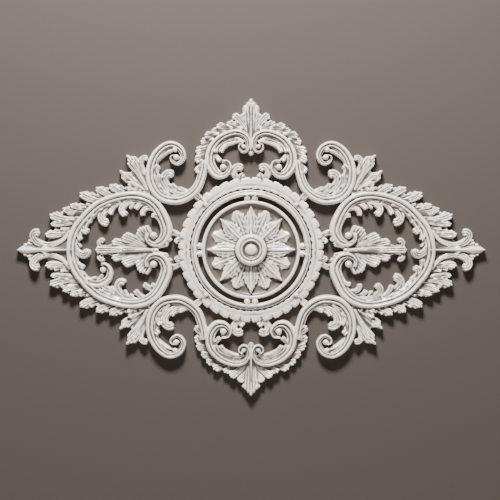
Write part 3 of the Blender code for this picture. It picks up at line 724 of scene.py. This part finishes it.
ring_top = moulding(120.4, 8.6, RING_HEIGHT * 0.6, RING_HEIGHT)
ring_bead = moulding(126.9, 4.3, RING_HEIGHT * 0.55, RING_HEIGHT * 0.8, count=6)
turned([(RING_INNER, 0)] + ring_top + ring_bead + [(RING_OUTER, 0)])
# the ground that carries the ring and the collar together
turned([(122.6, 0), (122.6, COLLAR_HEIGHT - 4), (146.2, COLLAR_HEIGHT - 4), (146.2, 0)])
print("corners so far", len(corners))

# %% [markdown]
# A leafy collar goes round the ring. Its outer edge has leaning lobes with small teeth on them, and
# its inner edge is scalloped. Both are formulas of the way round, so the collar is one turned
# profile whose radii and heights change from ring to ring.

# %% The collar
COLLAR_LOBES = 40
COLLAR_TEETH = 120
COLLAR_SCALLOPS = 56
COLLAR_INNER = 133.8
COLLAR_OUTER = 150.1
LOBE_REACH = 6.9
TOOTH_REACH = 1.9
SCALLOP_REACH = 2.4


def lobes(turn, count):
    """Rounded lobes round a circle, from 0 in their notches to 1 at their middles."""
    return abs(math.sin(turn * count / 2)) ** 0.6


def leaning(turn, count):
    """Lobes that lean away from the nearest diagonal of the circle."""
    quadrant = turn % (math.pi / 2)
    octant = quadrant if quadrant < math.pi / 4 else math.pi / 2 - quadrant
    place = octant * count / (2 * math.pi) % 1
    return (1 - place) ** 0.5 * (1 - (1 - place) ** 8)


def collar(around=900):
    """The leaf laid round the ring, with a lobed outer edge and a scalloped inner one."""
    rings = []
    for turn in np.linspace(0, 2 * math.pi, around, endpoint=False):
        large = leaning(turn, COLLAR_LOBES)
        small = lobes(turn, COLLAR_TEETH)
        inner = COLLAR_INNER - SCALLOP_REACH * lobes(turn, COLLAR_SCALLOPS)
        outer = COLLAR_OUTER + LOBE_REACH * large + TOOTH_REACH * small
        crown = COLLAR_HEIGHT + 1.0
        curl = crown + 3.4 * large + 0.8 * small - 1.8
        bed = [(inner, 0), (inner, crown), (inner + 1.5, crown + 1.4), (138.9, crown), (144.1, crown + 1.2)]
        lip = [(outer - 5, curl), (outer - 2, curl - 0.4), (outer - 0.5, curl - 3),
               (outer, crown - 6), (outer, 0)]
        rings.append(upright(bed + lip, turn))
    add_shell(rings, is_loop=True)


collar()
print("corners so far", len(corners))

# %% [markdown]
# Pairs of balls at the four quarters tie the disc to the ring, each with a small hook that curls
# off the ring. On the diagonals a leaf with an eye wraps over the collar. A quarter turn repeats
# them, so they are made in one loop.

# %% The ties and the wraps
TIE_RADIUS = 111.4
TIE_BALL = 6.9
TIE_ASIDE = 8.2
# a hook's places, each as a radius and an angle from the middle of the tie, and its widths
TIE_HOOK = [(121.7, 0.24), (120.9, 0.15), (118.3, 0.09), (114.0, 0.066)]
TIE_HOOK_WIDTHS = [6.5, 9.5, 9.0, 7.3]


def at(radius, angle):
    """The place on a circle about the middle."""
    return (radius * math.cos(angle), radius * math.sin(angle))


for quarter in range(4):
    diagonal = math.pi * (quarter + 0.5) / 2
    leaf(at(131.2, diagonal), at(172.0, diagonal), 0, 14.0, 3, RIGHT, UPPER, COLLAR_HEIGHT + 6)
    eye(at(137.6, diagonal), 4.3, RIGHT, UPPER, COLLAR_HEIGHT + 8)
    tie = math.pi * quarter / 2
    for beside in (-1, 1):
        scroll([at(radius, tie + beside * turn) for radius, turn in TIE_HOOK], TIE_HOOK_WIDTHS,
               RIGHT, UPPER, RING_HEIGHT + 0.6, RIB)
        eye(at(TIE_RADIUS, tie + beside * TIE_ASIDE / TIE_RADIUS), TIE_BALL, RIGHT, UPPER, RIM_HEIGHT + 2)
print("corners in all", len(corners), "faces", len(faces))

# %% [markdown]
# The strokes only overlap so far. A Remesh fuses them into one skin, as the casting is, and a Smooth
# rounds every crease a little, as coats of paint do. A Boolean union of hundreds of strokes would
# keep their hard seams instead. A Decimate then leaves faces only where the surface bends.

# %% Fuse and slim
SOFTNESS = 1.15
FACE_LIMIT = 184000


def pick(piece):
    """Selects the piece alone and makes it the active one."""
    bpy.ops.object.select_all(action="DESELECT")
    piece.select_set(True)
    bpy.context.view_layer.objects.active = piece


def apply_modifier(piece, kind, **settings):
    """Adds one modifier to the piece and applies it."""
    pick(piece)
    modifier = piece.modifiers.new(kind.lower(), kind)
    for name, value in settings.items():
        setattr(modifier, name, value)
    bpy.ops.object.modifier_apply(modifier=modifier.name)


casting_mesh = bpy.data.meshes.new("medallion_casting")
casting_mesh.from_pydata([tuple(corner) for corner in corners], [], faces)
casting = bpy.data.objects.new("medallion_casting", casting_mesh)
bpy.context.scene.collection.objects.link(casting)
apply_modifier(casting, "REMESH", mode="VOXEL", voxel_size=SOFTNESS * MM)
print("faces after the fuse", len(casting.data.polygons))
apply_modifier(casting, "SMOOTH", factor=0.5, iterations=2)
apply_modifier(casting, "DECIMATE", ratio=FACE_LIMIT / (2 * len(casting.data.polygons)))
print("faces after the decimate", len(casting.data.polygons))

# %% [markdown]
# A block behind the plane of the wall cuts away all that was buried, and leaves the back as flat as
# the bench that the mould was filled on. The MANIFOLD solver does it, because the fused skin is
# closed. The back's faces are large, so they are shaded flat, and the rest is smooth.

# %% The flat back
SHARP_ANGLE = math.radians(50)
FACES_BACK = 0.98

bpy.ops.object.select_all(action="DESELECT")
bpy.ops.mesh.primitive_cube_add(size=1.0, location=(0.0, 0.6, 0.0), scale=(1.2, 1.2, 1.2))
back_block = bpy.context.object
apply_modifier(casting, "BOOLEAN", operation="DIFFERENCE", object=back_block, solver="MANIFOLD")
bpy.data.objects.remove(back_block, do_unlink=True)
pick(casting)
bpy.ops.object.shade_smooth_by_angle(angle=SHARP_ANGLE)
for face in casting.data.polygons:
    if face.normal.y > FACES_BACK:
        face.use_smooth = False
casting.data.calc_loop_triangles()
print("triangles in the casting", len(casting.data.loop_triangles))

# %% [markdown]
# The hollows get painted shade: their base colour is darkened towards umber where shade falls, in
# creases, valleys and under edges. A shader's own pointiness or ambient occlusion would show it too,
# but neither is the same in an export. So the script measures the hollows and keeps them on the piece
# as an attribute. First comes a map of the highest place in each small cell of the drawing, with the
# cells between corners filled in.

# %% A map of heights
MAP_STEP = 1.5
MAP_SIZE = (700, 460)
FILL_ROUNDS = 2


def from_mesh(items, name, kind=float):
    """Reads a value of three numbers, or of two for an edge, for each item of a mesh."""
    width = 3 if kind is float else 2
    values = np.empty(len(items) * width, dtype=kind)
    items.foreach_get(name, values)
    return values.reshape(-1, width)


def cells(places, count):
    """The row of the map that each place, in mm from the middle, falls in."""
    return np.clip((places / MAP_STEP + count / 2).astype(int), 0, count - 1)


mesh = casting.data
spots = from_mesh(mesh.vertices, "co") / MM
spot_cells = (cells(spots[:, 0], MAP_SIZE[0]), cells(spots[:, 2], MAP_SIZE[1]))
height_map = np.zeros(MAP_SIZE)
np.maximum.at(height_map, spot_cells, -spots[:, 1])
for _ in range(FILL_ROUNDS):
    grown = height_map.copy()
    for shift in ((1, 0), (-1, 0), (0, 1), (0, -1)):
        shifted = np.roll(height_map, shift, (0, 1)) * 0.98
        grown = np.where(height_map > 0, grown, np.maximum(grown, shifted))
    height_map = grown
print("cells with a height", int((height_map > 0).sum()), "of", height_map.size)

# %% [markdown]
# Three measures make up how deep in a hollow a corner lies, and so how much painted shade it gets. A
# crease is where the neighbours of a corner stand before its surface. A valley is where the blurred map
# is well above the map. What is below the map is under an edge. The flat back gets only the least
# painted shade.

# %% How deep each corner lies, for the painted shade
BARE_PAINTED_SHADE = 0.1
CREASE_ROUNDS = 2
CREASE_DEPTH = 0.14
CREASE_LEAST = -0.15
CREASE_MOST = 0.85
VALLEY_REACH = 6
VALLEY_START = 8.0
VALLEY_DEPTH = 18.0
VALLEY_MOST = 0.4
EDGE_START = 3.0
EDGE_DEPTH = 9.0
EDGE_MOST = 0.8
NEAR_BACK = 0.1


def blurred(field, reach):
    """The mean over a square of cells, taken twice along each axis."""
    for axis in (0, 1, 0, 1):
        total = np.zeros_like(field)
        for shift in range(-reach, reach + 1):
            total += np.roll(field, shift, axis)
        field = total / (2 * reach + 1)
    return field


ends = from_mesh(mesh.edges, "vertices", np.int32)
neighbours = np.maximum(np.bincount(ends.ravel(), minlength=len(spots)), 1)


def mean_of_neighbours(values):
    """For each corner, the mean of a value over the corners that an edge joins to it."""
    total = np.bincount(ends[:, 0], values[ends[:, 1]], len(values))
    total = total + np.bincount(ends[:, 1], values[ends[:, 0]], len(values))
    return total / neighbours


away = np.stack([mean_of_neighbours(spots[:, axis]) for axis in range(3)], axis=1) - spots
crease = (away * from_mesh(mesh.vertices, "normal")).sum(axis=1)
for _ in range(CREASE_ROUNDS):
    crease = 0.4 * crease + 0.6 * mean_of_neighbours(crease)
valley = (blurred(height_map, VALLEY_REACH) - height_map)[spot_cells]
below = height_map[spot_cells] + spots[:, 1]
# painted shade: creases, valleys and places under an edge get darker, where shade falls
painted_shade_mask = BARE_PAINTED_SHADE + np.clip(crease / CREASE_DEPTH, CREASE_LEAST, CREASE_MOST)
painted_shade_mask += np.clip((valley - VALLEY_START) / VALLEY_DEPTH, 0, VALLEY_MOST)
painted_shade_mask += np.clip((below - EDGE_START) / EDGE_DEPTH, 0, 1) * EDGE_MOST
painted_shade_mask[spots[:, 1] > -NEAR_BACK] = BARE_PAINTED_SHADE
# the painted shade is kept on the piece as an attribute for the paint to read
shade = mesh.attributes.new("painted_shade_mask", "FLOAT", "POINT")
shade.data.foreach_set("value", np.clip(painted_shade_mask, 0, 1).astype(np.float32))
print("mean recess", round(float(painted_shade_mask.mean()), 3))

# %% [markdown]
# A shader is easier to read as sums than as a chain of nodes. A small class wraps a node's output,
# so that plus, minus and times make the Math nodes, also with a number on the left. One method adds
# every other node: it takes the type, the settings and the inputs' values.

# %% Sockets for sums
class Socket:
    """An output of a node that can be added, taken away and multiplied."""

    def __init__(self, tree, output=None):
        self.tree = tree
        self.output = output

    def add(self, kind, settings, values, output=0):
        """Adds a node of a kind, with its settings and its inputs' values, and gives an output."""
        node = self.tree.nodes.new(kind)
        for name, setting in settings.items():
            setattr(node, name, setting)
        for name, value in values.items():
            if isinstance(value, Socket):
                self.tree.links.new(value.output, node.inputs[name])
            else:
                node.inputs[name].default_value = value
        return Socket(self.tree, node.outputs[output])

    def math(self, operation, first, second):
        """Adds a Math node with two values."""
        return self.add("ShaderNodeMath", {"operation": operation}, {0: first, 1: second})

    def __add__(self, other):
        return self.math("ADD", self, other)

    def __radd__(self, other):
        return self.math("ADD", other, self)

    def __sub__(self, other):
        return self.math("SUBTRACT", self, other)

    def __rsub__(self, other):
        return self.math("SUBTRACT", other, self)

    def __mul__(self, other):
        return self.math("MULTIPLY", self, other)

    def __rmul__(self, other):
        return self.math("MULTIPLY", other, self)

    def noise(self, scale, detail=3.0):
        """Cloudy noise over these coordinates, about 0.5."""
        return self.add("ShaderNodeTexNoise", {}, {"Vector": self, "Scale": scale, "Detail": detail})

    def blend(self, first, second):
        """A colour from the first to the second, as this goes from 0 to 1."""
        return self.add("ShaderNodeMix", {"data_type": "RGBA"},
                        {"Factor": self, "A": first, "B": second}, output="Result")


# %% [markdown]
# The finish is warm white satin paint. It is a little uneven in tone, and has painted shade: umber in
# the hollows, where shade falls. It is rougher there, so the coat that gives it its shine fades out.
# Fine bumps stand for the brush and for the skin of the cast. The noise reads Object coordinates, which
# a turned view leaves alone.

# %% The paint
PAINT = (0.74, 0.67, 0.617, 1.0)
OLD_PAINT = (0.70, 0.62, 0.55, 1.0)
# the colour of the painted shade in the hollows
PAINTED_SHADE_UMBER = (0.055, 0.036, 0.024, 1.0)
COAT_ROUGHNESS = 0.22
BUMP_DEPTH = 0.0004
BUMP_STRENGTH = 0.3
# how fine each noise is, over the metres of the piece
PATCHES_SCALE = 14.0
BRUSH_SCALE = 260.0
SKIN_SCALE = 900.0


def paint_material():
    """Satin paint over a cast relief, with painted shade in umber in its hollows."""
    paint = bpy.data.materials.new("warm_white_paint")
    paint.use_nodes = True
    tree = paint.node_tree
    place = Socket(tree).add("ShaderNodeTexCoord", {}, {}, output="Object")
    painted_shade_mask = place.add("ShaderNodeAttribute", {"attribute_name": "painted_shade_mask"}, {}, output="Fac")
    patches = place.noise(PATCHES_SCALE)
    brush = place.noise(BRUSH_SCALE, 4.0)
    skin = place.noise(SKIN_SCALE, 2.0)
    age = patches * 1.6 - 0.45
    # painted shade: the hollows blend towards umber, with a little random tone from the noise
    painted_shade_mix = painted_shade_mask * (0.82 + 0.36 * patches) + (brush - 0.5) * 0.05
    painted_shade_mix = painted_shade_mix.add("ShaderNodeClamp", {}, {"Value": painted_shade_mix})
    bumps = {"Height": brush + 0.4 * skin, "Strength": BUMP_STRENGTH, "Distance": BUMP_DEPTH}
    finish = {
        "Base Color": painted_shade_mix.blend(age.blend(PAINT, OLD_PAINT), PAINTED_SHADE_UMBER),
        "Roughness": 0.26 + 0.2 * painted_shade_mask + 0.09 * brush,
        "Coat Weight": 0.7 - 0.5 * painted_shade_mask,
        "Normal": place.add("ShaderNodeBump", {}, bumps, output="Normal"),
    }
    shader = tree.nodes["Principled BSDF"]
    for name, socket in finish.items():
        tree.links.new(socket.output, shader.inputs[name])
    shader.inputs["Coat Roughness"].default_value = COAT_ROUGHNESS
    print("nodes in the paint", len(tree.nodes))
    return paint


casting.data.materials.clear()
casting.data.materials.append(paint_material())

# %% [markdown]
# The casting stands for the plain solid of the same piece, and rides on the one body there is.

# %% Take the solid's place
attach(casting, "root")
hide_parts("medallion")
print("piece", casting.name, "with", len(casting.data.materials), "material")

# %% [markdown]
# The piece is fixed to a flat surface, and the soft shadows round it are on that surface, so the
# backdrop stands just behind its back. A backdrop can't be looked through from behind, where the
# flat back is, so its material is clear on that side and it holds back no light. The floor is pale
# and lies well below.

# %% The backdrop and the floor
TAUPE = (0.049, 0.0375, 0.03, 1.0)
PALE = (0.75, 0.73, 0.70, 1.0)
BACKDROP_GAP = 1.2
BACKDROP_SIZE = 3.2
FLOOR_SIZE = 8.0
FLOOR_LEVEL = -1.4
STAGE_ROUGHNESS = 0.85


def stage_material(name, colour):
    """A plain matt finish."""
    material = bpy.data.materials.new(name)
    material.use_nodes = True
    base = material.node_tree.nodes["Principled BSDF"]
    base.inputs["Base Color"].default_value = colour
    base.inputs["Roughness"].default_value = STAGE_ROUGHNESS
    return material


def clear_from_behind(material):
    """Lets a backdrop be seen through from its back, so that the back of the piece shows."""
    tree = material.node_tree
    start = Socket(tree)
    facing = start.add("ShaderNodeNewGeometry", {}, {}, output="Backfacing")
    clear = start.add("ShaderNodeBsdfTransparent", {}, {})
    solid = Socket(tree, tree.nodes["Principled BSDF"].outputs["BSDF"])
    both = start.add("ShaderNodeMixShader", {}, {0: facing, 1: solid, 2: clear})
    tree.links.new(both.output, tree.nodes["Material Output"].inputs["Surface"])
    return material


def stage_plane(name, size, place, tilt, material):
    """A square plane of the stage."""
    bpy.ops.mesh.primitive_plane_add(size=size, location=place, rotation=(tilt, 0, 0))
    plane = bpy.context.object
    plane.name = name
    bpy.ops.object.transform_apply()
    plane.data.materials.append(material)
    return plane


taupe = clear_from_behind(stage_material("backdrop_taupe", TAUPE))
backdrop_place = (0.0, BACKDROP_GAP * MM, FLOOR_LEVEL + BACKDROP_SIZE / 2)
backdrop = stage_plane("backdrop", BACKDROP_SIZE, backdrop_place, math.pi / 2, taupe)
backdrop.visible_shadow = False
pale = stage_material("floor_pale", PALE)
floor = stage_plane("floor", FLOOR_SIZE, (0.0, -2.0, FLOOR_LEVEL), 0.0, pale)
print("stage", backdrop.name, floor.name)

# %% [markdown]
# One soft box above and in front, a little to the left, models the relief as the photograph has it:
# bright on top of each roll, dark below. A smaller one would draw hard edges. A second one behind
# lights only the back. The world adds a trace of warm light to the shadows.

# %% The light
WORLD_WARMTH = (1.0, 0.9, 0.82, 1.0)
WORLD_STRENGTH = 0.015


def soft_box(name, place, size, watts):
    """A rectangular area light that looks at the middle of the piece."""
    light = bpy.data.lights.new(name, "AREA")
    light.shape = "RECTANGLE"
    light.size = size[0]
    light.size_y = size[1]
    light.energy = watts
    lamp = bpy.data.objects.new(name, light)
    bpy.context.scene.collection.objects.link(lamp)
    way = np.array(place) / np.linalg.norm(place)
    lamp.location = place
    lamp.rotation_euler = (math.acos(way[2]), 0.0, math.atan2(way[0], -way[1]))
    return lamp


soft_box("top_softbox", (-0.14, -1.4, 2.05), (0.7, 0.45), 262.0)
soft_box("back_softbox", (0.2, 2.6, 0.3), (1.4, 1.0), 60.0)
world = bpy.data.worlds.new("studio")
bpy.context.scene.world = world
world.use_nodes = True
sky = world.node_tree.nodes["Background"]
sky.inputs["Color"].default_value = WORLD_WARMTH
sky.inputs["Strength"].default_value = WORLD_STRENGTH
print("lights", len(bpy.data.lights))

# %% [markdown]
# The photograph looks straight at the middle from far off, as the upright sides of the scrolls don't
# show. The lens is long, and its distance follows from how wide a stretch the picture holds. The
# piece isn't quite in the picture's middle, so the camera stands a little to one side.

# %% The camera
PICTURE_PIXELS = 500
TIP_TO_TIP_PIXELS = 465
TIP_TO_TIP = 1000.0
MID_DEPTH = 15.0
OFF_CENTRE = (-2.2, -0.4)

lens = bpy.data.cameras.new("camera")
lens.lens = 100.0
lens.sensor_width = 36.0
view_width = PICTURE_PIXELS * TIP_TO_TIP / TIP_TO_TIP_PIXELS * MM
distance = view_width * lens.lens / lens.sensor_width
camera = bpy.data.objects.new("camera", lens)
bpy.context.scene.collection.objects.link(camera)
camera.location = (OFF_CENTRE[0] * MM, -MID_DEPTH * MM - distance, OFF_CENTRE[1] * MM)
camera.rotation_euler = (math.pi / 2, 0.0, 0.0)
bpy.context.scene.camera = camera
print("the picture is", round(view_width, 3), "m wide, seen from", round(distance, 2), "m")
